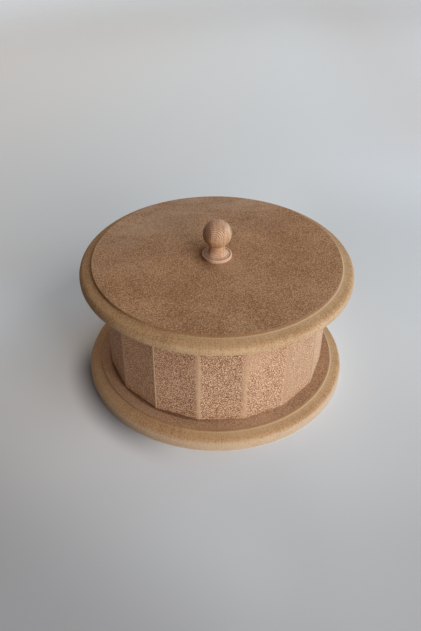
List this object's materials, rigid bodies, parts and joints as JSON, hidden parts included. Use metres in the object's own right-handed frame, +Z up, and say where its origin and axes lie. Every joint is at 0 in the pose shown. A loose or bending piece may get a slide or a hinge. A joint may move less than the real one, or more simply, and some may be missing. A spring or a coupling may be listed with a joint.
{
  "type": "cheese box",
  "caption": "Low round lidded box of raw fibreboard: faceted wall of mitred staves on a moulded base disc, overhanging moulded lid that lifts off by a turned ball knob.",
  "frame": {"origin": "middle of the underside of the base disc, on the surface that the box stands on", "axes": "+Z up along the box's axis, through the knob; -Y is the front, square to stave 1, and +X is to the right of someone who faces that front"},
  "size_m": [0.25, 0.25, 0.1584],
  "materials": {
    "fibreboard": "raw",
    "fibreboard_wall": "raw, sanded",
    "turned_wood": "raw, turned",
    "screw_steel": "zinc plated"
  },
  "bodies": {
    "box": {"base_plate": "fibreboard", "wall_stave_01": "fibreboard_wall", "wall_stave_02": "fibreboard_wall", "wall_stave_03": "fibreboard_wall", "wall_stave_04": "fibreboard_wall", "wall_stave_05": "fibreboard_wall", "wall_stave_06": "fibreboard_wall", "wall_stave_07": "fibreboard_wall", "wall_stave_08": "fibreboard_wall", "wall_stave_09": "fibreboard_wall", "wall_stave_10": "fibreboard_wall", "wall_stave_11": "fibreboard_wall", "wall_stave_12": "fibreboard_wall", "wall_stave_13": "fibreboard_wall", "wall_stave_14": "fibreboard_wall", "wall_stave_15": "fibreboard_wall", "wall_stave_16": "fibreboard_wall"},
    "lid": {"lid_plate": "fibreboard", "locating_plate": "fibreboard", "knob": "turned_wood", "knob_screw": "screw_steel"}
  },
  "joints": [
    {"name": "lid_lift", "type": "slide", "parent": "box", "child": "lid", "axis": [0, 0, 1], "range_m": [0, 0.15]}
  ]
}
